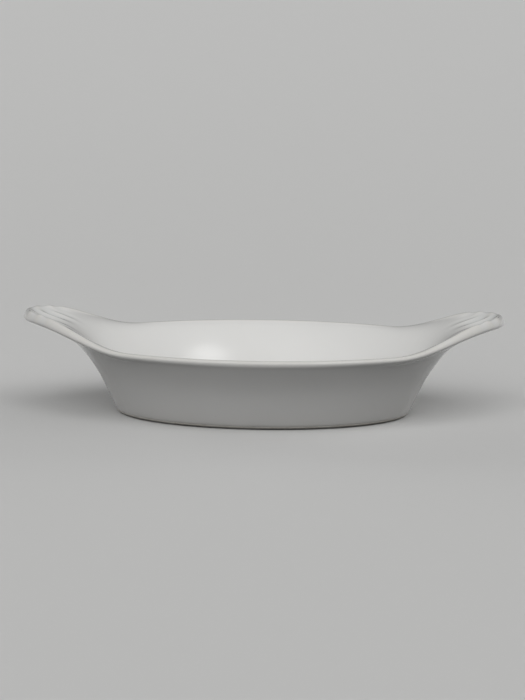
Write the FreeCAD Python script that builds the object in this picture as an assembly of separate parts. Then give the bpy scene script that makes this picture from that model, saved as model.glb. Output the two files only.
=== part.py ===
"""An oval gratin dish in glazed stoneware: a flared bowl, two raised shell ears and a foot ring.

The clay is one smooth skin, drawn over control rings that run from the foot up the outside, round the
edge and down the inside to the floor. Every ring is an oval that the ears draw out and lift. The skin is
then parted where a potter lutes the pieces: at the root of each ear and at the top of the foot ring.
X runs from ear to ear, Y across the dish, and the dish stands on Z = 0.
"""

import FreeCAD, Part
import math
import os

# Overall sizes, in millimetres
LENGTH = 290.0  # over the tips of the ears
WIDTH = 160.0  # over the lip
RIM_HEIGHT = 44.5  # top of the lip halfway along a side
EAR_HEIGHT = 61.0  # top of the ears
FOOT_LENGTH = 170.0  # flat face that the dish stands on, end to end
FOOT_WIDTH = 106.0  # the same, across

# Thickness of the clay
WALL = 4.4
FLOOR = 5.0
LIP = 3.6
EAR = 5.4
EAR_EDGE = 7.9  # height of the band round an ear's edge, near its root and before its rounding
EAR_TIP_EDGE = 6.3  # the same at the tip

# Foot ring
FOOT_HEIGHT = 2.0
FOOT_RING_WIDTH = 5.0
FOOT_RING_TAPER = 0.8  # how much wider the ring is where it meets the bowl
FOOT_ROUND = 3.0  # run of the rounding from the standing face into the wall

# Inside of the bowl
FLOOR_ROUND = 9.0  # run of the rounding from the floor into the wall

# Ears
EAR_CLIMB = 60.0  # run over which the rim climbs to the ear's full height
EAR_LEVEL = 4.0  # run at the tip that stays at the full height
EAR_ROOT = 102.5  # half length of the bowl at its rim, where an ear is luted on
EAR_ROOT_TILT = 45.0  # degrees, lean of that joint, square to the ear
EAR_SKIRT_SHARE = 0.21  # part of the ear's reach that spreads along the whole end of the oval
EAR_POINT = 6.0  # power of the cosine that draws the rest of the reach out to a tip

# Fan of ribs on top of each ear, with a rib on its middle line
FAN_SETBACK = 60.0  # focus of the fan, in from the tip
FAN_STEP = 11.2  # degrees from groove to groove
FAN_GROOVES = 6
FAN_FADE_START = 35.0  # how far out from the focus, along the ear, the grooves begin
FAN_FADE_END = 46.0  # how far out they have their full depth
GROOVE_DEPTH = 3.4
GROOVE_SHARPNESS = 1.3  # power that narrows the grooves and broadens the ribs
SCALLOP = 0.35  # how far the grooves notch the ear's edge

# Control rings of the outside, from the rounding at the foot up to the ear's edge. Shares of: the wall's
# spread, the rim's height, the ears' reach past the rim and the ears' rise above it.
OUTSIDE_SHARES = (
    (0.18, 0.08, 0.00, 0.00),
    (0.35, 0.31, 0.00, 0.00),
    (0.54, 0.55, 0.00, 0.00),
    (0.75, 0.74, 0.00, 0.00),
    (0.91, 0.87, 0.11, 0.27),
    (0.95, 0.90, 0.41, 0.50),
    (0.98, 0.92, 0.74, 0.68),
)
FOOT_RINGS = 2  # rings below those, on the standing face
LIP_START_INDEX = 5  # place of the ring at which the thickness starts to change from the wall's to the lip's

# Control rings of the edge, from below it over the crest to the inside. Shares of the thickness there, in from
# the outermost line and down from the top: first for the rounded lip, then for the flat band of the ears.
EDGE_SHARES = (
    ((0.00, 0.70), (0.33, 1.00)),
    ((0.00, 0.25), (0.00, 0.80)),
    ((0.38, 0.00), (0.34, 0.00)),
    ((0.88, 0.08), (0.66, 0.12)),
)
EDGE_GROOVE_SHARES = (0.0, 0.0, 0.2, 0.7)  # part of the grooves' depth that reaches each of them
OUTERMOST_INDEX = 1  # place among those rings of the one that lies outermost
CREST_INDEX = 2  # place of the one on the crest

# Spacing of the control points round the rings
FINE_ANGLE = 27.0  # degrees each side of an ear's axis with close points, for the ribs
FINE_STEPS = 30  # over that angle
COARSE_STEPS = 15  # from there to the middle of a side
SKIN_DEGREE = 3
OVERRUN = 10.0  # how far cutting blocks pass the clay

# Sizes that follow
SPREAD = (WIDTH - FOOT_WIDTH) / 2
EAR_REACH = (LENGTH - FOOT_LENGTH) / 2 - SPREAD
EAR_RISE = EAR_HEIGHT - RIM_HEIGHT
FAN_FOCUS = LENGTH / 2 - FAN_SETBACK
FLOOR_TOP = FOOT_HEIGHT + FLOOR


def smooth_step(value):
    """0 to 1 as the value goes from 0 to 1, level at both ends."""
    held = min(max(value, 0.0), 1.0)
    return held * held * (3 - 2 * held)


def control_angles():
    """Angles of the control points round a ring, close together at the ears.

    The list starts one place before the middle of the back, because a closed skin starts at its second control.
    """
    coarse = math.pi / 2 - math.radians(FINE_ANGLE)
    fine = math.radians(FINE_ANGLE)
    from_side = [coarse * step / COARSE_STEPS for step in range(COARSE_STEPS)]
    from_side += [coarse + fine * step / FINE_STEPS for step in range(FINE_STEPS)]
    from_tip = [math.pi / 2] + from_side[:0:-1]
    angles = []
    for side in (math.pi / 2, 3 * math.pi / 2):
        angles += [side + turn for turn in from_side]
        angles += [side + math.pi - turn for turn in from_tip]
    return angles[-1:] + angles[:-1]


ANGLES = control_angles()


def tip_part(angle):
    """How near an angle is to a tip: 1 there, 0 along the sides."""
    return abs(math.cos(angle)) ** EAR_POINT


def ear_draw(angle):
    """Share of the ears' reach at an angle: 1 at the tips, little along the sides."""
    return EAR_SKIRT_SHARE + (1 - EAR_SKIRT_SHARE) * tip_part(angle)


def ear_lift(angle):
    """Share of the ears' rise at an angle: 1 near the tips, 0 along the sides."""
    half_length = FOOT_LENGTH / 2 + SPREAD + EAR_REACH * ear_draw(angle)
    from_tip = LENGTH / 2 - half_length * abs(math.cos(angle))
    return smooth_step((EAR_CLIMB + EAR_LEVEL - from_tip) / EAR_CLIMB)


def ring(spread, height, reach=0.0, rise=0.0):
    """A control ring: an oval that lies `spread` outside the foot, drawn out and lifted at the ears."""
    points = []
    for angle in ANGLES:
        half_length = FOOT_LENGTH / 2 + spread + reach * ear_draw(angle)
        half_width = FOOT_WIDTH / 2 + spread
        x = half_length * math.cos(angle)
        y = half_width * math.sin(angle)
        points.append(FreeCAD.Vector(x, y, height + rise * ear_lift(angle)))
    return points


def pulled(target, before, after):
    """Control value at which the skin itself, which rounds off its controls, reaches the target."""
    return (6 * target - before - after) / 4


def groove(point):
    """Depth of the fan's grooves over a point of an ear, from 0 on the ribs to 1 in a groove."""
    out = abs(point.x) - FAN_FOCUS
    turn = math.degrees(math.atan2(point.y, out))
    if abs(turn) > FAN_STEP * FAN_GROOVES / 2:
        return 0.0
    wave = (1 - math.cos(2 * math.pi * turn / FAN_STEP)) / 2
    fade = smooth_step((out - FAN_FADE_START) / (FAN_FADE_END - FAN_FADE_START))
    return wave ** GROOVE_SHARPNESS * fade


def fluted(points, depth):
    """A ring on top of the ears, sunk in the grooves by the given depth."""
    return [point - FreeCAD.Vector(0, 0, depth * groove(point)) for point in points]


def scalloped(points):
    """A ring round the edge, notched towards the fan's focus at each groove."""
    notched = []
    for point in points:
        focus = FreeCAD.Vector(math.copysign(FAN_FOCUS, point.x), 0, point.z)
        inward = (focus - point).normalize()
        notched.append(point + inward * (SCALLOP * groove(point)))
    return notched


def thickened(rings, index):
    """The inner partner of an outside ring, square to the skin at the clay's thickness there."""
    below, here, above = rings[index - 1], rings[index], rings[index + 1]
    lip_ring = FOOT_RINGS + len(OUTSIDE_SHARES)
    lip_part = max(0.0, (index - LIP_START_INDEX) / (lip_ring - LIP_START_INDEX))
    count = len(here)
    inner = []
    for place, angle in enumerate(ANGLES):
        up = above[place] - below[place]
        onward = here[(place + 1) % count] - here[place - 1]
        side_thickness = WALL + (LIP - WALL) * lip_part
        ear_thickness = WALL + (EAR - WALL) * lip_part
        thickness = side_thickness + (ear_thickness - side_thickness) * ear_lift(angle)
        inner.append(here[place] + up.cross(onward).normalize() * thickness)
    return inner


def edge_section(angle):
    """Places in from the outermost line and down from the top, for the edge's rings at an angle."""
    lift = ear_lift(angle)
    band = EAR_EDGE + (EAR_TIP_EDGE - EAR_EDGE) * tip_part(angle)
    thickness = LIP + (band - LIP) * lift
    inward = []
    down = []
    for (lip_in, lip_down), (ear_in, ear_down) in EDGE_SHARES:
        inward.append(thickness * (lip_in + (ear_in - lip_in) * lift))
        down.append(thickness * (lip_down + (ear_down - lip_down) * lift))
    inward[OUTERMOST_INDEX] = pulled(0, inward[OUTERMOST_INDEX - 1], inward[OUTERMOST_INDEX + 1])
    down[CREST_INDEX] = pulled(0, down[CREST_INDEX - 1], down[CREST_INDEX + 1])
    return list(zip(inward, down))


def edge_rings():
    """Control rings round the lip and the ears' edge, from below the edge over the crest to the inside."""
    outline = ring(SPREAD, RIM_HEIGHT, EAR_REACH, EAR_RISE)
    count = len(outline)
    columns = []
    for place, angle in enumerate(ANGLES):
        onward = outline[(place + 1) % count] - outline[place - 1]
        inward = FreeCAD.Vector(-onward.y, onward.x, 0).normalize()
        downward = FreeCAD.Vector(0, 0, -1)
        columns.append([outline[place] + inward * run + downward * drop for run, drop in edge_section(angle)])
    return [list(points) for points in zip(*columns)]


def control_net():
    """All control rings of the clay, from the standing face round the edge to the middle of the floor."""
    outside = [ring(0, 0), ring(FOOT_ROUND, 0)]
    for spread, height, reach, rise in OUTSIDE_SHARES:
        outside.append(ring(spread * SPREAD, height * RIM_HEIGHT, reach * EAR_REACH, rise * EAR_RISE))
    edge = edge_rings()
    section = outside + edge
    inside = [thickened(section, index) for index in range(FOOT_RINGS + 1, len(outside))]
    wall_run = WALL / math.cos(math.atan(SPREAD / RIM_HEIGHT))
    floor_spread = SPREAD * FLOOR_TOP / RIM_HEIGHT
    corner = ring(floor_spread - wall_run, FLOOR_TOP)
    floor_rounding = ring(floor_spread - wall_run - FLOOR_ROUND / 2, FLOOR_TOP)
    floor_edge = ring(floor_spread - wall_run - FLOOR_ROUND, FLOOR_TOP)
    cut = [GROOVE_DEPTH * share for share in EDGE_GROOVE_SHARES]
    edge = [fluted(scalloped(points), depth) for points, depth in zip(edge, cut)]
    inside = [fluted(points, GROOVE_DEPTH) for points in reversed(inside)]
    return outside + edge + inside + [corner, floor_rounding, floor_edge]


def clay_skin(net):
    """The smooth skin over the control rings, closed round the dish."""
    around = len(net[0])
    spans = len(net) - SKIN_DEGREE
    end = SKIN_DEGREE + 1
    skin = Part.BSplineSurface()
    skin.buildFromPolesMultsKnots(
        [list(column) for column in zip(*net)],
        [1] * (around + 1),
        [end] + [1] * (spans - 1) + [end],
        list(range(around + 1)),
        list(range(spans + 1)),
        True,
        False,
        SKIN_DEGREE,
        SKIN_DEGREE,
    )
    return skin


def clay_body():
    """The whole dish as one closed solid: quarters of its outside and inside, a flat base and a flat floor."""
    net = control_net()
    skin = clay_skin(net)
    quarter = len(net[0]) // 4
    crest = FOOT_RINGS + len(OUTSIDE_SHARES) + CREST_INDEX - 1
    floor = len(net) - SKIN_DEGREE
    faces = []
    base_edges = []
    floor_edges = []
    for start in range(0, len(net[0]), quarter):
        outside = skin.copy()
        outside.segment(start, start + quarter, 0, crest)
        inside = skin.copy()
        inside.segment(start, start + quarter, crest, floor)
        faces += [outside.toShape(), inside.toShape()]
        base_edges.append(outside.vIso(0).toShape())
        floor_edges.append(inside.vIso(floor).toShape())
    faces += [Part.Face(Part.Wire(edges)) for edges in (base_edges, floor_edges)]
    shell = Part.makeShell(faces)
    shell.sewShape()
    body = Part.Solid(Part.Shell(shell.Faces))
    if body.Volume < 0:
        body.reverse()
    return body


def root_block(side):
    """A block that holds everything past the root of the ear on the given side, 1 for +X and -1 for -X."""
    size = LENGTH + WIDTH
    block = Part.makeBox(size, 2 * size, 2 * size, FreeCAD.Vector(0, -size, -size))
    tilt = FreeCAD.Rotation(FreeCAD.Vector(0, 1, 0), -EAR_ROOT_TILT)
    block.Placement = FreeCAD.Placement(FreeCAD.Vector(EAR_ROOT, 0, RIM_HEIGHT), tilt)
    if side < 0:
        block = block.mirror(FreeCAD.Vector(0, 0, 0), FreeCAD.Vector(1, 0, 0))
    return block


def foot_block():
    """A block round the foot ring, from below the table up to the ring's top."""
    size = LENGTH + OVERRUN
    corner = FreeCAD.Vector(-size / 2, -size / 2, -OVERRUN)
    return Part.makeBox(size, size, FOOT_HEIGHT + OVERRUN, corner)


def foot_recess():
    """The shallow hollow inside the foot ring, a little narrower at its top."""
    wires = []
    for height, inset in ((0, FOOT_RING_WIDTH), (FOOT_HEIGHT, FOOT_RING_WIDTH + FOOT_RING_TAPER)):
        oval = Part.Ellipse(FreeCAD.Vector(0, 0, height), FOOT_LENGTH / 2 - inset, FOOT_WIDTH / 2 - inset)
        wires.append(Part.Wire([oval.toShape()]))
    return Part.makeLoft(wires, True, True)


clay = clay_body()
right_root = root_block(1)
left_root = root_block(-1)
foot = foot_block()

nodes = {
    "bowl": clay.cut([right_root, left_root, foot]),
    "right_ear": clay.common(right_root),
    "left_ear": clay.common(left_root),
    "foot_ring": clay.common(foot).cut(foot_recess()),
}

os.makedirs("parts", exist_ok=True)
for name, shape in nodes.items():
    (solid,) = shape.Solids
    solid.exportStep("parts/" + name + ".step")
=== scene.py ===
"""Looks of an oval gratin dish: white glaze over the bowl and its two shell ears, and a bare foot ring.

The glazed piece is a cage of oval rings, from the middle of the underside up the outside, over the lip and
down to the middle of the floor, smoothed by a subdivision surface. The foot ring is a second, unglazed piece.
"""

import math

import bmesh
import bpy
from mathutils import Matrix, Vector


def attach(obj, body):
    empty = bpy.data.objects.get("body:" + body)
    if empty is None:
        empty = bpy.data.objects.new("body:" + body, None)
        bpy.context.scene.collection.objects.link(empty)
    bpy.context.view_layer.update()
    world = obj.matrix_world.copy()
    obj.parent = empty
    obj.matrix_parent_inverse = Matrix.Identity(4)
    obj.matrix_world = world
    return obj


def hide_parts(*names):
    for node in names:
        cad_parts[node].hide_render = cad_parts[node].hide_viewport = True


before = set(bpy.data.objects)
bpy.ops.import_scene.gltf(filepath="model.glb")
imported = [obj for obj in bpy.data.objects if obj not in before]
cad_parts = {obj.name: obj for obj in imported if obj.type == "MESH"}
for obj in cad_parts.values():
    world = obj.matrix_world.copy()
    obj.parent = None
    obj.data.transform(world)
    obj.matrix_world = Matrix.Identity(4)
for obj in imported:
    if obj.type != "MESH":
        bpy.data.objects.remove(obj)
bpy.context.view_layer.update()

bl_info = {
    "name": "Gratin dish",
    "version": (1, 0, 0),
    "blender": (4, 5, 0),
    "location": "View3D > Sidebar > Dish",
    "description": "Makes an oval gratin dish with shell ears, a glaze, a bare foot ring and a plain stage",
    "category": "Add Mesh",
}

BODY = "root"
MM = 0.001
SMOOTHING_LEVELS = 2

# Cage rings of the outside, from above the glaze line up to the ear's edge. Shares of: the wall's spread, the
# rim's height, the ears' reach past the rim and the ears' rise above it.
OUTSIDE_SHARES = (
    (0.18, 0.08, 0.00, 0.00),
    (0.35, 0.31, 0.00, 0.00),
    (0.54, 0.55, 0.00, 0.00),
    (0.75, 0.74, 0.00, 0.00),
    (0.91, 0.87, 0.11, 0.27),
    (0.95, 0.90, 0.41, 0.50),
    (0.98, 0.92, 0.74, 0.68),
)
LIP_START_RING = 3  # outside ring at which the thickness starts to change from the wall's to the lip's

# Cage rings of the edge, from below it over the crest to the inside. Shares of the thickness there, in from
# the outermost line and down from the top: first for the rounded lip, then for the flat band of the ears.
EDGE_SHARES = (
    ((0.00, 0.70), (0.33, 1.00)),
    ((0.00, 0.25), (0.00, 0.80)),
    ((0.38, 0.00), (0.34, 0.00)),
    ((0.88, 0.08), (0.66, 0.12)),
)
EDGE_GROOVE_SHARES = (0.0, 0.0, 0.14, 0.6)  # part of the grooves' depth that reaches each of them
OUTERMOST_INDEX = 1  # place among those rings of the one that lies outermost
CREST_INDEX = 2  # place of the one on the crest

# Section of the foot ring, from the inner edge of the standing face outwards, up and back. Shares of the
# ring's width inwards or of its flare outwards, and of its height, with the crease of the edge there.
FOOT_SECTION_SHARES = (
    (-1.00, 0.00, 0.5),
    (-0.60, 0.00, 0.0),
    (0.05, 0.00, 0.0),
    (0.50, 0.10, 0.0),
    (0.82, 0.48, 0.0),
    (0.97, 0.92, 0.0),
    (0.96, 1.00, 1.0),
    (-0.40, 1.00, 0.0),
    (-1.16, 1.00, 1.0),
    (-1.06, 0.45, 0.0),
)

# How thin the glaze lies, from 0 for its full thickness to 1, and how strongly glaze pools and painted shade
# show, from 0 to 1.
GLAZE_LINE_THIN = (0.8, 0.3)  # on the last ring underneath and the first of the outside
EDGE_THIN = (0.25, 0.7, 1.0, 0.5)  # on the rings of the edge
RIB_THIN = 0.35
# The floor's corner takes the darker pool colour: glaze that pools there, and painted shade where the wall
# meets the floor.
CORNER_POOL_AND_SHADE = 0.5  # where the wall meets the floor

# Patterns in the glaze and the clay: features in a metre, and the noise values between which each comes in.
CLOUDS_PER_METRE, CLOUD_RANGE = 28.0, (0.35, 0.70)
PATCHES_PER_METRE, PATCH_RANGE = 110.0, (0.30, 0.70)
WAVES_PER_METRE = 55.0
PEEL_PER_METRE = 900.0
GRAIN_PER_METRE, GRAIN_RANGE = 1400.0, (0.56, 0.70)
BLOTCHES_PER_METRE, BLOTCH_RANGE = 130.0, (0.35, 0.75)
RUBS_PER_METRE, RUB_RANGE = 240.0, (0.3, 0.7)

# How strongly patches let thin glaze and dull glaze show, and blotches, grains and rubs the darker clay.
PATCH_THIN = (0.45, 1.0)
PATCH_DULL_START = 0.2
BLOTCH_STRENGTH = (0.0, 0.45)
GRAIN_STRENGTH = (0.0, 0.75)
RUB_STRENGTH = (0.2, 0.9)

# Specks lie in a few of the cells that divide the glaze.
SPECK_CELLS_PER_METRE = 190.0
SPECK_CHOICE = 0.93  # part of the cells without one
SPECK_RADII = (0.030, 0.055)  # solid middle and faded edge, against a cell
SPECK_PIT = 4  # depth of its pit, in heights of the orange-peel

GLAZE_IOR = 1.52
COAT_IOR = 1.5
CLAY_IOR = 1.45

# Places of a colour Mix node's sockets
MIX_FACTOR, MIX_FIRST, MIX_SECOND, MIX_RESULT = 0, 6, 7, 2

FLOOR_SIDES = 128
FLOOR_STEPS = 24
FLOOR_GAP = 0.1 * MM  # floor below the standing face
LAMP_DISTANCE = 2.0
VIEW_END = 200.0  # how far the camera sees


def length(name, description, millimetres):
    """A length of the dish that a user may change."""
    return bpy.props.FloatProperty(
        name=name, description=description, default=millimetres * MM, min=0.0, unit="LENGTH", precision=4
    )


def colour(name, description, value):
    """A colour that a user may change."""
    return bpy.props.FloatVectorProperty(
        name=name, description=description, default=value, size=3, min=0.0, max=1.0, subtype="COLOR"
    )


def angle(name, description, degrees):
    """An angle that a user may change."""
    return bpy.props.FloatProperty(
        name=name, description=description, default=math.radians(degrees), subtype="ANGLE"
    )


def strength(name, description, value):
    """The strength of a lamp, which a user may change."""
    return bpy.props.FloatProperty(name=name, description=description, default=value, min=0.0)


def share(name, description, value):
    """A strength or amount from 0 to 1 that a user may change."""
    return bpy.props.FloatProperty(
        name=name, description=description, default=value, min=0.0, max=1.0, subtype="FACTOR"
    )


def power(name, description, value, lowest):
    """A power that shapes a curve, which a user may change."""
    return bpy.props.FloatProperty(name=name, description=description, default=value, min=lowest)


def count(name, description, value, fewest):
    """A number of like things that a user may change."""
    return bpy.props.IntProperty(name=name, description=description, default=value, min=fewest)


class GratinDishSizes(bpy.types.PropertyGroup):
    """Sizes of the bowl, its lip and its foot."""

    full_length: length("Length", "Over the tips of the ears", 290.0)
    width: length("Width", "Over the lip", 160.0)
    rim_height: length("Rim height", "Top of the lip halfway along a side", 44.5)
    foot_length: length("Foot length", "Standing face, end to end", 170.0)
    foot_width: length("Foot width", "Standing face, across", 106.0)
    wall: length("Wall", "Thickness of the wall", 4.4)
    floor: length("Floor", "Thickness of the floor", 5.0)
    lip: length("Lip", "Thickness of the lip", 3.6)
    floor_round: length("Floor rounding", "Run of the rounding from the floor into the wall", 9.0)
    foot_height: length("Foot height", "Height of the bare foot ring", 2.0)
    foot_ring_width: length("Foot ring width", "Width of the standing face", 5.0)
    foot_flare: length("Foot flare", "How far the glaze line lies outside the standing face", 3.9)
    glaze_edge: length("Glaze edge", "Rounding of the glaze where it stops above the foot", 0.5)


class ShellEarSizes(bpy.types.PropertyGroup):
    """Sizes of the two ears and of the fan of ribs on each."""

    height: length("Ear height", "Top of the ears above the table", 61.0)
    thickness: length("Ear thickness", "Thickness of an ear inside its edge", 5.4)
    edge: length("Ear edge", "Height of the band round an ear's edge, near its root", 7.9)
    tip_edge: length("Tip edge", "Height of the band at the tip", 6.3)
    climb: length("Climb", "Run over which the rim climbs to the ear's full height", 60.0)
    level: length("Level tip", "Run at the tip that stays at the full height", 4.0)
    skirt: share("Skirt", "Part of the ear's reach that spreads along the whole end of the oval", 0.21)
    point: power("Point", "Power that draws the rest of the reach out to a tip", 6.0, 1.0)
    fan_setback: length("Fan setback", "Focus of the fan, in from the tip", 60.0)
    fan_step: angle("Fan step", "Angle from groove to groove", 11.2)
    fan_grooves: count("Grooves", "Grooves on each ear", 6, 2)
    fade_start: length("Fade start", "How far out from the focus, along the ear, the grooves begin", 35.0)
    fade_end: length("Fade end", "How far out from the focus they have their full depth", 46.0)
    groove_depth: length("Groove depth", "Depth of the glazed grooves between the ribs", 2.8)
    sharpness: power("Sharpness", "Power that narrows the grooves and broadens the ribs", 0.65, 0.1)
    tip_notch: share("Tip notch", "Depth of the grooves over the edge at the tip, against further round", 0.2)
    scallop: length("Scallop", "How far the grooves notch the ear's edge", 0.35)
    fine_angle: angle("Fine angle", "Part of the oval each side of an ear's axis with close columns", 27.0)
    fine_steps: count("Fine steps", "Columns over that angle", 30, 3)
    coarse_steps: count("Coarse steps", "Columns from there to the middle of a side", 15, 3)


class GlazeLook(bpy.types.PropertyGroup):
    """Colours and finish of the white glaze."""

    white: colour("White", "Glaze of full thickness", (0.745, 0.742, 0.728))
    cloud: colour("Cloud", "Faint clouds in the glaze", (0.732, 0.729, 0.714))
    thin: colour("Thin", "Glaze run thin over an edge, with the clay showing through", (0.690, 0.655, 0.590))
    # A darker grey for glaze that pools in the grooves and the floor's corner, which also paints shade into
    # them.
    pooled_and_shaded: colour("Pooled", "Glaze that has gathered in a groove", (0.560, 0.575, 0.575))
    speck: colour("Speck", "Fine iron specks under the glaze", (0.270, 0.215, 0.160))
    thin_amount: share("Thin amount", "How strongly thin glaze shows", 0.45)
    pool_and_shade_amount: share("Pool amount", "How strongly gathered glaze shows", 0.70)
    speck_amount: share("Speck amount", "How strongly the specks show", 0.45)
    gloss: share("Roughness, gloss", "Roughness of the glossiest glaze", 0.17)
    satin: share("Roughness, satin", "Roughness of the dullest glaze", 0.27)
    coat: share("Roughness, coat", "Roughness of the clear top of the glaze", 0.22)
    waves: length("Waves", "Height of the gentle waves in the glaze", 0.06)
    peel: length("Peel", "Height of the fine orange-peel in the glaze", 0.005)


class BareClayLook(bpy.types.PropertyGroup):
    """Colours and finish of the bare fired clay."""

    light: colour("Light clay", "Clean fired clay", (0.690, 0.668, 0.620))
    dark: colour("Dark clay", "Darker grains and flecks", (0.520, 0.490, 0.435))
    rubbed: colour("Rubbed clay", "Standing face, greyed by use", (0.540, 0.522, 0.485))
    roughness: share("Roughness", "Roughness of the bare clay", 0.82)
    grain: length("Grain", "Height of the grain", 0.06)


class StudioLook(bpy.types.PropertyGroup):
    """Floor, light and camera. Azimuths are to the right of straight ahead."""

    floor: colour("Floor", "Colour of the floor", (0.60, 0.60, 0.594))
    floor_bounce: colour("Floor bounce", "Colour of the floor as it lights the dish", (0.07, 0.07, 0.0695))
    floor_radius: length("Floor radius", "Flat part of the floor", 700.0)
    floor_sweep: length("Floor sweep", "Run over which the floor's far edge rises", 2700.0)
    floor_rise: length("Floor rise", "Height of the floor's far edge", 360.0)
    surround: colour("Surround", "Dim studio past the floor", (0.09, 0.09, 0.089))
    key: strength("Key light", "Strength of the broad soft key light", 1.2)
    key_size: angle("Key size", "How wide the key light looks from the dish", 60.0)
    key_elevation: angle("Key elevation", "Height of the key light above the table", 50.0)
    key_azimuth: angle("Key azimuth", "Direction of the key light", 12.0)
    core: strength("Key core", "Strength of the small bright light that the glaze mirrors", 0.18)
    core_size: angle("Core size", "How wide the bright light looks from the dish", 18.0)
    core_elevation: angle("Core elevation", "Height of the bright light above the table", 44.0)
    core_azimuth: angle("Core azimuth", "Direction of the bright light", 34.0)
    fill: strength("Fill light", "Strength of the low soft light from the front left", 1.12)
    fill_size: angle("Fill size", "How wide the fill light looks from the dish", 60.0)
    fill_elevation: angle("Fill elevation", "Height of the fill light above the table", 28.0)
    fill_azimuth: angle("Fill azimuth", "Direction of the fill light", -32.0)
    side: strength("Side light", "Strength of the weak light from the right", 0.58)
    side_size: angle("Side size", "How wide the side light looks from the dish", 60.0)
    side_elevation: angle("Side elevation", "Height of the side light above the table", 30.0)
    side_azimuth: angle("Side azimuth", "Direction of the side light", 90.0)
    rear: strength("Rear lights", "Strength of each of the two soft lights low behind the dish", 1.1)
    rear_size: angle("Rear size", "How wide each rear light looks from the dish", 36.0)
    rear_elevation: angle("Rear elevation", "Height of the rear lights above the table", 9.0)
    rear_azimuth: angle("Rear azimuth", "Direction of the rear lights, to the right and to the left", 130.0)
    azimuth: angle("View azimuth", "Direction of the camera", 0.968)
    elevation: angle("View elevation", "Height of the camera above the table", 9.543)
    roll: angle("View roll", "Tilt of the camera about its line of sight", 0.698)
    distance: length("View distance", "Camera to the point that it looks at", 1200.0)
    focal_length: bpy.props.FloatProperty(
        name="Focal length",
        description="Lens, in millimetres",
        default=101.91,
        min=1.0,
        subtype="DISTANCE_CAMERA",
    )
    aim: bpy.props.FloatVectorProperty(
        name="Aim",
        description="Point that the camera looks at",
        default=(-0.00048, 0.0, 0.03783),
        subtype="TRANSLATION",
    )


def smooth_step(value):
    """0 to 1 as the value goes from 0 to 1, level at both ends."""
    held = min(max(value, 0.0), 1.0)
    return held * held * (3 - 2 * held)


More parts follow.
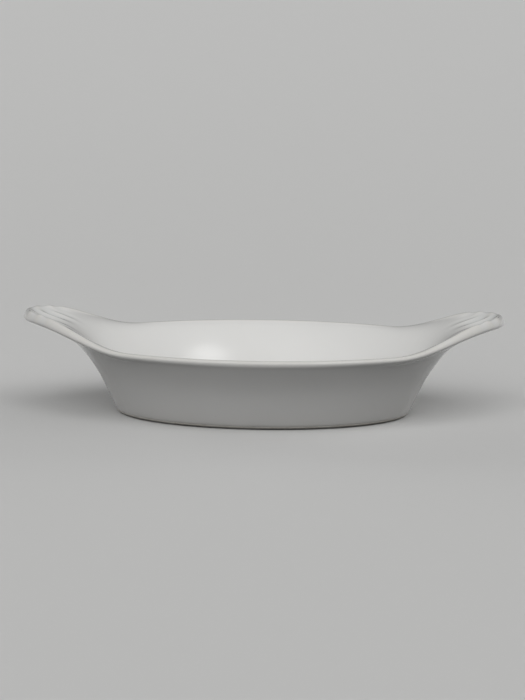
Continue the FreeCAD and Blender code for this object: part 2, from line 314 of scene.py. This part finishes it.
class DishShape:
    """The oval rings that the dish is made of."""

    def __init__(self, sizes, ears):
        self.sizes = sizes
        self.ears = ears
        self.spread = (sizes.width - sizes.foot_width) / 2
        self.reach = (sizes.full_length - sizes.foot_length) / 2 - self.spread
        self.rise = ears.height - sizes.rim_height
        self.focus = sizes.full_length / 2 - ears.fan_setback
        self.floor_top = sizes.foot_height + sizes.floor
        self.angles = self.column_angles()

    def column_angles(self):
        """Angles of the columns round a ring, close together at the ears."""
        fine = self.ears.fine_angle
        coarse = math.pi / 2 - fine
        from_side = [coarse * step / self.ears.coarse_steps for step in range(self.ears.coarse_steps)]
        from_side += [coarse + fine * step / self.ears.fine_steps for step in range(self.ears.fine_steps)]
        from_tip = [math.pi / 2] + from_side[:0:-1]
        angles = []
        for side in (math.pi / 2, 3 * math.pi / 2):
            angles += [side + turn for turn in from_side]
            angles += [side + math.pi - turn for turn in from_tip]
        return angles

    def tip_part(self, angle):
        """How near an angle is to a tip: 1 there, 0 along the sides."""
        return abs(math.cos(angle)) ** self.ears.point

    def draw(self, angle):
        """Share of the ears' reach at an angle: 1 at the tips, little along the sides."""
        return self.ears.skirt + (1 - self.ears.skirt) * self.tip_part(angle)

    def lift(self, angle):
        """Share of the ears' rise at an angle: 1 near the tips, 0 along the sides."""
        half_length = self.sizes.foot_length / 2 + self.spread + self.reach * self.draw(angle)
        from_tip = self.sizes.full_length / 2 - half_length * abs(math.cos(angle))
        return smooth_step((self.ears.climb + self.ears.level - from_tip) / self.ears.climb)

    def ring(self, spread, height, reach=0.0, rise=0.0):
        """An oval that lies `spread` outside the standing face, drawn out and lifted at the ears."""
        points = []
        for angle in self.angles:
            x = (self.sizes.foot_length / 2 + spread + reach * self.draw(angle)) * math.cos(angle)
            y = (self.sizes.foot_width / 2 + spread) * math.sin(angle)
            points.append(Vector((x, y, height + rise * self.lift(angle))))
        return points

    def fan_fade(self, point):
        """How far the fan has come in at a point: 0 near its focus and 1 towards the ear's edge."""
        out = abs(point.x) - self.focus
        return smooth_step((out - self.ears.fade_start) / (self.ears.fade_end - self.ears.fade_start))

    def groove(self, point):
        """Depth of the fan's grooves over a point of an ear, from 0 on the ribs to 1 in a groove."""
        turn = math.atan2(point.y, abs(point.x) - self.focus)
        if abs(turn) > self.ears.fan_step * self.ears.fan_grooves / 2:
            return 0.0
        wave = (1 - math.cos(2 * math.pi * turn / self.ears.fan_step)) / 2
        return wave ** self.ears.sharpness * self.fan_fade(point)

    def notch(self, point):
        """Depth of the grooves over a point of the edge, which they hardly reach at the tip."""
        turn = math.atan2(abs(point.y), abs(point.x) - self.focus)
        off_tip = smooth_step(turn / (2 * self.ears.fan_step))
        return self.groove(point) * (self.ears.tip_notch + (1 - self.ears.tip_notch) * off_tip)

    def fluted(self, points, reached, part=1.0):
        """A ring on top of the ears, sunk in the grooves as far as they reach, by a part of their depth."""
        depth = self.ears.groove_depth * part
        return [point - Vector((0, 0, depth * reached(point))) for point in points]

    def scalloped(self, points):
        """A ring round the edge, notched towards the fan's focus at each groove."""
        notched = []
        for point in points:
            focus = Vector((math.copysign(self.focus, point.x), 0, point.z))
            notched.append(point + (focus - point).normalized() * (self.ears.scallop * self.notch(point)))
        return notched

    def thickened(self, rings, index):
        """The inner partner of an outside ring, square to the skin at the clay's thickness there."""
        below, here, above = rings[index - 1], rings[index], rings[index + 1]
        lip_part = max(0.0, (index - LIP_START_RING) / (len(OUTSIDE_SHARES) - LIP_START_RING))
        wall = self.sizes.wall
        side_thickness = wall + (self.sizes.lip - wall) * lip_part
        ear_thickness = wall + (self.ears.thickness - wall) * lip_part
        inner = []
        for place, angle in enumerate(self.angles):
            up = above[place] - below[place]
            onward = here[(place + 1) % len(here)] - here[place - 1]
            thickness = side_thickness + (ear_thickness - side_thickness) * self.lift(angle)
            inner.append(here[place] + up.cross(onward).normalized() * thickness)
        return inner

    def edge_section(self, angle):
        """Places in from the outermost line and down from the top, for the edge's rings at an angle."""
        lift = self.lift(angle)
        band = self.ears.edge + (self.ears.tip_edge - self.ears.edge) * self.tip_part(angle)
        thickness = self.sizes.lip + (band - self.sizes.lip) * lift
        inward, down = [], []
        for (lip_in, lip_down), (ear_in, ear_down) in EDGE_SHARES:
            inward.append(thickness * (lip_in + (ear_in - lip_in) * lift))
            down.append(thickness * (lip_down + (ear_down - lip_down) * lift))
        # These two stand out by as much as the smoothing pulls them in.
        inward[OUTERMOST_INDEX] = -(inward[OUTERMOST_INDEX - 1] + inward[OUTERMOST_INDEX + 1]) / 4
        down[CREST_INDEX] = -(down[CREST_INDEX - 1] + down[CREST_INDEX + 1]) / 4
        return list(zip(inward, down))

    def edge_rings(self):
        """Rings round the lip and the ears' edge, from below the edge over the crest to the inside."""
        outline = self.ring(self.spread, self.sizes.rim_height, self.reach, self.rise)
        columns = []
        for place, angle in enumerate(self.angles):
            onward = outline[(place + 1) % len(outline)] - outline[place - 1]
            inward = Vector((-onward.y, onward.x, 0)).normalized()
            section = self.edge_section(angle)
            columns.append([outline[place] + inward * run - Vector((0, 0, drop)) for run, drop in section])
        return [list(points) for points in zip(*columns)]

    def glazed_rings(self):
        """The rings of the glazed piece in five groups: under it, outside, edge, inside and floor."""
        sizes = self.sizes
        line = sizes.foot_flare
        base = sizes.foot_height
        soft = sizes.glaze_edge
        under = [
            self.ring(-sizes.foot_width / 4, base),
            self.ring(-sizes.foot_ring_width * 2, base),
            self.ring(-sizes.foot_ring_width, base),
            self.ring(line - 2 * soft, base),
            self.ring(line - soft / 2, base),
            self.ring(line + soft / 4, base + soft / 2),
        ]
        outside = [
            self.ring(spread * self.spread, height * sizes.rim_height, reach * self.reach, rise * self.rise)
            for spread, height, reach, rise in OUTSIDE_SHARES
        ]
        edge = self.edge_rings()
        section = outside + edge
        inside = [self.thickened(section, index) for index in range(1, len(outside))]
        wall_run = sizes.wall / math.cos(math.atan(self.spread / sizes.rim_height))
        floor_spread = self.spread * self.floor_top / sizes.rim_height - wall_run
        floor = [
            self.ring(floor_spread, self.floor_top),
            self.ring(floor_spread - sizes.floor_round / 2, self.floor_top),
            self.ring(floor_spread - sizes.floor_round, self.floor_top),
            self.ring(floor_spread - 2 * sizes.floor_round, self.floor_top),
        ]
        edge = [
            self.fluted(self.scalloped(points), self.notch, part)
            for points, part in zip(edge, EDGE_GROOVE_SHARES)
        ]
        inside = [self.fluted(points, self.groove) for points in reversed(inside)]
        return under, outside, edge, inside, floor

    def glaze_cover(self, under, outside, edge, inside, floor):
        """How thin the glaze lies, and how strongly glaze pools and painted shade show, at each point, ring
        by ring.
        """
        first_outside = len(under)
        first_edge = first_outside + len(outside)
        corner = first_edge + len(edge) + len(inside)
        edge_places = range(first_edge, first_edge + len(edge))
        fan_places = range(first_edge + 1, corner)
        thin_at = dict(zip((first_outside - 1, first_outside), GLAZE_LINE_THIN))
        thin_at.update(zip(edge_places, EDGE_THIN))
        reached_at = dict(zip(edge_places, EDGE_GROOVE_SHARES))
        thin_rows, pool_and_shade_rows = [], []
        for index, points in enumerate(under + outside + edge + inside + floor):
            thin = thin_at.get(index, 0.0)
            reached = reached_at.get(index, 1.0)
            settled = CORNER_POOL_AND_SHADE if index == corner else 0.0
            thin_row, pool_and_shade_row = [], []
            for point in points:
                depth = self.groove(point) if index in fan_places else 0.0
                rib = RIB_THIN * (self.fan_fade(point) - depth) if index in fan_places else 0.0
                thin_row.append(max(thin * (1 - depth), rib))
                # Grooves and the floor's corner: glaze that pools there, darkened further as painted shade.
                pool_and_shade_row.append(max(depth * reached, settled))
            thin_rows.append(thin_row)
            pool_and_shade_rows.append(pool_and_shade_row)
        return thin_rows, pool_and_shade_rows


def skin_mesh(name, rings, closed_section, creases=None):
    """A mesh of quads over rings of equal length: a tube with open ends, or a closed torus."""
    mesh = bpy.data.meshes.new(name)
    shape = bmesh.new()
    crease_layer = shape.edges.layers.float.new("crease_edge")
    rows = [[shape.verts.new(point) for point in points] for points in rings]
    pairs = list(zip(rows, rows[1:]))
    if closed_section:
        pairs.append((rows[-1], rows[0]))
    columns = len(rows[0])
    for lower, upper in pairs:
        for place in range(columns):
            onward = (place + 1) % columns
            shape.faces.new((lower[place], lower[onward], upper[onward], upper[place]))
    for row, crease in zip(rows, creases or []):
        for place in range(columns):
            edge = shape.edges.get((row[place], row[(place + 1) % columns]))
            edge[crease_layer] = crease
            edge.smooth = crease < 1.0
    for face in shape.faces:
        face.smooth = True
    shape.to_mesh(mesh)
    shape.free()
    return mesh


def close_ends(mesh):
    """Closes the open ends of a smoothed skin with flat faces, and turns all faces outwards."""
    shape = bmesh.new()
    shape.from_mesh(mesh)
    ends = [edge for edge in shape.edges if edge.is_boundary]
    if ends:
        bmesh.ops.holes_fill(shape, edges=ends, sides=0)
    bmesh.ops.recalc_face_normals(shape, faces=shape.faces)
    shape.to_mesh(mesh)
    shape.free()


def point_values(mesh, name, rows):
    """Keeps one number for each point of the cage, for the material to read."""
    attribute = mesh.attributes.new(name, "FLOAT", "POINT")
    attribute.data.foreach_set("value", [value for row in rows for value in row])


def add_piece(context, name, mesh, material, replaced):
    """Puts a finished piece on the dish's body, in place of the solids that it stands for."""
    piece = bpy.data.objects.new(name, mesh)
    context.scene.collection.objects.link(piece)
    mesh.materials.append(material)
    smooth = piece.modifiers.new("smooth clay", "SUBSURF")
    smooth.levels = SMOOTHING_LEVELS
    smooth.render_levels = SMOOTHING_LEVELS
    smoothed = piece.evaluated_get(context.evaluated_depsgraph_get())
    piece.data = bpy.data.meshes.new_from_object(smoothed)
    piece.data.name = name
    close_ends(piece.data)
    piece.modifiers.clear()
    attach(piece, BODY)
    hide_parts(*replaced)


class Nodes:
    """Adds nodes to a material's tree and joins them."""

    def __init__(self, tree):
        self.tree = tree
        tree.nodes.clear()

    def add(self, kind, settings=None, **inputs):
        """A node with its settings, and its inputs set to a value or joined to another node's output."""
        node = self.tree.nodes.new(kind)
        for key, value in (settings or {}).items():
            setattr(node, key, value)
        for key, value in inputs.items():
            self.join(node.inputs[key.replace("_", " ")], value)
        return node

    def join(self, socket, value):
        """Sets a socket, or links it where the value is an output."""
        if isinstance(value, bpy.types.NodeSocket):
            self.tree.links.new(value, socket)
        else:
            socket.default_value = value

    def math(self, operation, *values):
        """The result of a Math node."""
        node = self.tree.nodes.new("ShaderNodeMath")
        node.operation = operation
        for socket, value in zip(node.inputs, values):
            self.join(socket, value)
        return node.outputs["Value"]

    def mix(self, factor, first, second):
        """The result of a Mix node for colours."""
        node = self.tree.nodes.new("ShaderNodeMix")
        node.data_type = "RGBA"
        for place, value in ((MIX_FACTOR, factor), (MIX_FIRST, first), (MIX_SECOND, second)):
            self.join(node.inputs[place], value)
        return node.outputs[MIX_RESULT]

    def noise(self, place, per_metre, detail):
        """Even noise with the given number of features in a metre."""
        node = self.add("ShaderNodeTexNoise", Vector=place, Scale=per_metre, Detail=detail)
        return node.outputs["Fac"]

    def ramp(self, value, low, high, out_low=0.0, out_high=1.0):
        """A value stretched from one range to another and held inside it."""
        node = self.add("ShaderNodeMapRange", {"clamp": True})
        for socket, setting in zip(node.inputs, (value, low, high, out_low, out_high)):
            self.join(socket, setting)
        return node.outputs["Result"]

    def attribute(self, name):
        """A number kept on the mesh."""
        return self.add("ShaderNodeAttribute", {"attribute_name": name}).outputs["Fac"]

    def bump(self, height, distance, normal=None):
        """A normal bent by a height that is 1 at the given distance."""
        node = self.add("ShaderNodeBump", Distance=distance, Height=height)
        if normal is not None:
            self.join(node.inputs["Normal"], normal)
        return node.outputs["Normal"]


def opaque(value):
    """A colour with full alpha."""
    return (*value, 1.0)


def glaze_material(look):
    """White glaze: faint clouds, thin and warm over edges, darker in grooves for glaze that pools and for
    painted shade, with a few fine specks.
    """
    material = bpy.data.materials.new("white_glaze")
    material.use_nodes = True
    nodes = Nodes(material.node_tree)
    place = nodes.add("ShaderNodeTexCoord").outputs["Object"]
    clouds = nodes.ramp(nodes.noise(place, CLOUDS_PER_METRE, detail=3.0), *CLOUD_RANGE)
    patches = nodes.ramp(nodes.noise(place, PATCHES_PER_METRE, detail=4.0), *PATCH_RANGE)
    body = nodes.mix(clouds, opaque(look.white), opaque(look.cloud))
    patched = nodes.ramp(patches, 0.0, 1.0, *PATCH_THIN)
    thin = nodes.math("MULTIPLY", nodes.attribute("glaze_thin"), patched)
    body = nodes.mix(nodes.math("MULTIPLY", thin, look.thin_amount), body, opaque(look.thin))
    # Painted shade: the pool colour darkens the grooves and the floor's corner, partly as glaze that pools
    # there.
    gathered_and_shaded = nodes.attribute("glaze_pool_and_shade")
    body = nodes.mix(nodes.math("MULTIPLY", gathered_and_shaded, look.pool_and_shade_amount), body, opaque(look.pooled_and_shaded))
    cells = nodes.add("ShaderNodeTexVoronoi", Vector=place, Scale=SPECK_CELLS_PER_METRE)
    draw = nodes.add("ShaderNodeSeparateColor", Color=cells.outputs["Color"]).outputs["Red"]
    chosen = nodes.math("GREATER_THAN", draw, SPECK_CHOICE)
    spot = nodes.ramp(cells.outputs["Distance"], *SPECK_RADII, 1.0, 0.0)
    speck = nodes.math("MULTIPLY", spot, chosen)
    body = nodes.mix(nodes.math("MULTIPLY", speck, look.speck_amount), body, opaque(look.speck))
    dullness = nodes.math("MAXIMUM", nodes.ramp(patches, PATCH_DULL_START, 1.0), thin)
    roughness = nodes.ramp(dullness, 0.0, 1.0, look.gloss, look.satin)
    normal = nodes.bump(nodes.noise(place, WAVES_PER_METRE, detail=1.0), look.waves)
    normal = nodes.bump(nodes.noise(place, PEEL_PER_METRE, detail=2.0), look.peel, normal)
    normal = nodes.bump(nodes.math("MULTIPLY", speck, -1.0), look.peel * SPECK_PIT, normal)
    shader = nodes.add(
        "ShaderNodeBsdfPrincipled",
        Base_Color=body,
        Roughness=roughness,
        Normal=normal,
        IOR=GLAZE_IOR,
        Coat_Weight=1.0,
        Coat_Roughness=look.coat,
        Coat_IOR=COAT_IOR,
    )
    nodes.add("ShaderNodeOutputMaterial", Surface=shader.outputs["BSDF"])
    return material


def bare_clay_material(look):
    """Bare fired clay: a fine sandy grain, darker flecks and a rubbed standing face."""
    material = bpy.data.materials.new("bare_clay")
    material.use_nodes = True
    nodes = Nodes(material.node_tree)
    place = nodes.add("ShaderNodeTexCoord").outputs["Object"]
    grain = nodes.noise(place, GRAIN_PER_METRE, detail=4.0)
    blotches = nodes.noise(place, BLOTCHES_PER_METRE, detail=4.0)
    blotches = nodes.ramp(blotches, *BLOTCH_RANGE, *BLOTCH_STRENGTH)
    body = nodes.mix(blotches, opaque(look.light), opaque(look.dark))
    body = nodes.mix(nodes.ramp(grain, *GRAIN_RANGE, *GRAIN_STRENGTH), body, opaque(look.dark))
    rubs = nodes.ramp(nodes.noise(place, RUBS_PER_METRE, detail=3.0), *RUB_RANGE, *RUB_STRENGTH)
    rubbed = nodes.math("MULTIPLY", nodes.attribute("rubbed"), rubs)
    body = nodes.mix(rubbed, body, opaque(look.rubbed))
    shader = nodes.add(
        "ShaderNodeBsdfPrincipled",
        Base_Color=body,
        Roughness=look.roughness,
        Normal=nodes.bump(grain, look.grain),
        IOR=CLAY_IOR,
    )
    nodes.add("ShaderNodeOutputMaterial", Surface=shader.outputs["BSDF"])
    return material


def seen_directly(nodes):
    """1 for rays from the camera or off a gloss or through glass, and 0 for light that falls on the dish."""
    rays = nodes.add("ShaderNodeLightPath")
    seen = nodes.math("MAXIMUM", rays.outputs["Is Camera Ray"], rays.outputs["Is Glossy Ray"])
    return nodes.math("MAXIMUM", seen, rays.outputs["Is Transmission Ray"])


def floor_material(look):
    """A plain pale floor that keeps shadows, and throws little light back up."""
    material = bpy.data.materials.new("pale_floor")
    material.use_nodes = True
    nodes = Nodes(material.node_tree)
    shown = nodes.mix(seen_directly(nodes), opaque(look.floor_bounce), opaque(look.floor))
    shader = nodes.add("ShaderNodeBsdfDiffuse", Color=shown)
    nodes.add("ShaderNodeOutputMaterial", Surface=shader.outputs["BSDF"])
    return material


def studio_world(look):
    """An even dim studio, alike for the camera, for reflections and for the light on the dish."""
    world = bpy.data.worlds.new("studio")
    world.use_nodes = True
    nodes = Nodes(world.node_tree)
    background = nodes.add("ShaderNodeBackground", Color=opaque(look.surround), Strength=1.0)
    nodes.add("ShaderNodeOutputWorld", Surface=background.outputs["Background"])
    return world


def bearing(azimuth, elevation):
    """Direction from the dish to a light or the camera, at an azimuth to the right of straight ahead."""
    level = math.cos(elevation)
    return Vector((math.sin(azimuth) * level, -math.cos(azimuth) * level, math.sin(elevation)))


class DISH_OT_glazed_body(bpy.types.Operator):
    """Makes the glazed bowl with its rounded lip and both shell ears, as one smooth skin"""

    bl_idname = "dish.glazed_body"
    bl_label = "Glazed bowl and ears"

    def execute(self, context):
        shape = DishShape(context.scene.dish_sizes, context.scene.dish_ears)
        groups = shape.glazed_rings()
        mesh = skin_mesh("glazed_dish", [points for group in groups for points in group], False)
        thin, gathered_and_shaded = shape.glaze_cover(*groups)
        point_values(mesh, "glaze_thin", thin)
        # The pool values paint shade into the grooves and the floor's corner, along with glaze that pools
        # there.
        point_values(mesh, "glaze_pool_and_shade", gathered_and_shaded)
        material = glaze_material(context.scene.dish_glaze)
        add_piece(context, "glazed_dish", mesh, material, ("bowl", "left_ear", "right_ear"))
        return {"FINISHED"}


class DISH_OT_foot_ring(bpy.types.Operator):
    """Makes the low unglazed ring that the dish stands on"""

    bl_idname = "dish.foot_ring"
    bl_label = "Foot ring"

    def execute(self, context):
        sizes = context.scene.dish_sizes
        shape = DishShape(sizes, context.scene.dish_ears)
        rings, creases, rubbed = [], [], []
        for across, up, crease in FOOT_SECTION_SHARES:
            run = sizes.foot_flare if across > 0 else sizes.foot_ring_width
            rings.append(shape.ring(across * run, up * sizes.foot_height))
            creases.append(crease)
            rubbed.append([1.0 if up == 0 else 0.0] * len(shape.angles))
        mesh = skin_mesh("foot_ring_bare", rings, True, creases)
        point_values(mesh, "rubbed", rubbed)
        material = bare_clay_material(context.scene.dish_clay)
        add_piece(context, "foot_ring_bare", mesh, material, ("foot_ring",))
        return {"FINISHED"}


class DISH_OT_stage(bpy.types.Operator):
    """Makes the pale floor, the soft light and the camera"""

    bl_idname = "dish.stage"
    bl_label = "Stage"

    def execute(self, context):
        look = context.scene.dish_studio
        scene = context.scene
        self.add_floor(scene, look)
        scene.world = studio_world(look)
        for name, strength, size, azimuth, elevation in (
            ("key", look.key, look.key_size, look.key_azimuth, look.key_elevation),
            ("core", look.core, look.core_size, look.core_azimuth, look.core_elevation),
            ("fill", look.fill, look.fill_size, look.fill_azimuth, look.fill_elevation),
            ("side", look.side, look.side_size, look.side_azimuth, look.side_elevation),
            ("rear_right", look.rear, look.rear_size, look.rear_azimuth, look.rear_elevation),
            ("rear_left", look.rear, look.rear_size, -look.rear_azimuth, look.rear_elevation),
        ):
            mirrored = name == "core"  # one highlight only in the glaze
            self.add_lamp(scene, name, strength, size, bearing(azimuth, elevation), mirrored)
        self.add_camera(scene, look)
        scene.view_settings.view_transform = "Standard"
        return {"FINISHED"}

    def add_floor(self, scene, look):
        """A wide round floor, just under the standing face, that sweeps up at its far edge."""
        shape = bmesh.new()
        turns = [2 * math.pi * place / FLOOR_SIDES for place in range(FLOOR_SIDES)]
        rows = []
        for step in range(FLOOR_STEPS + 1):
            part = step / FLOOR_STEPS
            radius = look.floor_radius + look.floor_sweep * part
            height = look.floor_rise * part * part - FLOOR_GAP
            points = [Vector((radius * math.cos(turn), radius * math.sin(turn), height)) for turn in turns]
            rows.append([shape.verts.new(point) for point in points])
        shape.faces.new(rows[0])
        for inner, outer in zip(rows, rows[1:]):
            for place in range(FLOOR_SIDES):
                onward = (place + 1) % FLOOR_SIDES
                face = shape.faces.new((inner[place], outer[place], outer[onward], inner[onward]))
                face.smooth = True
        mesh = bpy.data.meshes.new("floor")
        shape.to_mesh(mesh)
        shape.free()
        mesh.materials.append(floor_material(look))
        floor = bpy.data.objects.new("floor", mesh)
        scene.collection.objects.link(floor)

    def add_lamp(self, scene, name, strength, size, towards, mirrored):
        """A soft lamp, far off in the given direction from the dish, which the glaze mirrors or doesn't."""
        lamp = bpy.data.lights.new(name, "SUN")
        lamp.energy = strength
        lamp.angle = size
        holder = bpy.data.objects.new(name, lamp)
        holder.location = towards * LAMP_DISTANCE
        holder.rotation_euler = towards.to_track_quat("Z", "Y").to_euler()
        holder.visible_glossy = mirrored
        scene.collection.objects.link(holder)

    def add_camera(self, scene, look):
        """The photograph's viewpoint."""
        lens = bpy.data.cameras.new("camera")
        lens.lens = look.focal_length
        lens.clip_end = VIEW_END
        camera = bpy.data.objects.new("camera", lens)
        back = bearing(look.azimuth, look.elevation)
        level = Vector((math.cos(look.azimuth), math.sin(look.azimuth), 0))
        right = Matrix.Rotation(look.roll, 3, back) @ level
        up = back.cross(right)
        turn = Matrix((right, up, back)).transposed()
        camera.matrix_world = Matrix.Translation(Vector(look.aim) + back * look.distance) @ turn.to_4x4()
        scene.collection.objects.link(camera)
        scene.camera = camera


class DISH_PT_maker(bpy.types.Panel):
    """Lists the pieces of the dish and the stage"""

    bl_idname = "DISH_PT_maker"
    bl_label = "Gratin dish"
    bl_space_type = "VIEW_3D"
    bl_region_type = "UI"
    bl_category = "Dish"

    def draw(self, context):
        for operator in OPERATORS:
            self.layout.operator(operator.bl_idname)


OPERATORS = (DISH_OT_glazed_body, DISH_OT_foot_ring, DISH_OT_stage)
GROUPS = {
    "dish_sizes": GratinDishSizes,
    "dish_ears": ShellEarSizes,
    "dish_glaze": GlazeLook,
    "dish_clay": BareClayLook,
    "dish_studio": StudioLook,
}


def register():
    """Gives every scene the dish's sizes and looks, and adds the operators and the panel."""
    for name, group in GROUPS.items():
        bpy.utils.register_class(group)
        setattr(bpy.types.Scene, name, bpy.props.PointerProperty(type=group))
    for entry in (*OPERATORS, DISH_PT_maker):
        bpy.utils.register_class(entry)


def unregister():
    """Takes away what register added, last first."""
    for entry in (DISH_PT_maker, *reversed(OPERATORS)):
        bpy.utils.unregister_class(entry)
    for name, group in reversed(GROUPS.items()):
        delattr(bpy.types.Scene, name)
        bpy.utils.unregister_class(group)


def main():
    """Makes the dish and its stage."""
    register()
    bpy.ops.dish.glazed_body()
    bpy.ops.dish.foot_ring()
    bpy.ops.dish.stage()
    bpy.context.view_layer.update()


if __name__ == "__main__":
    main()
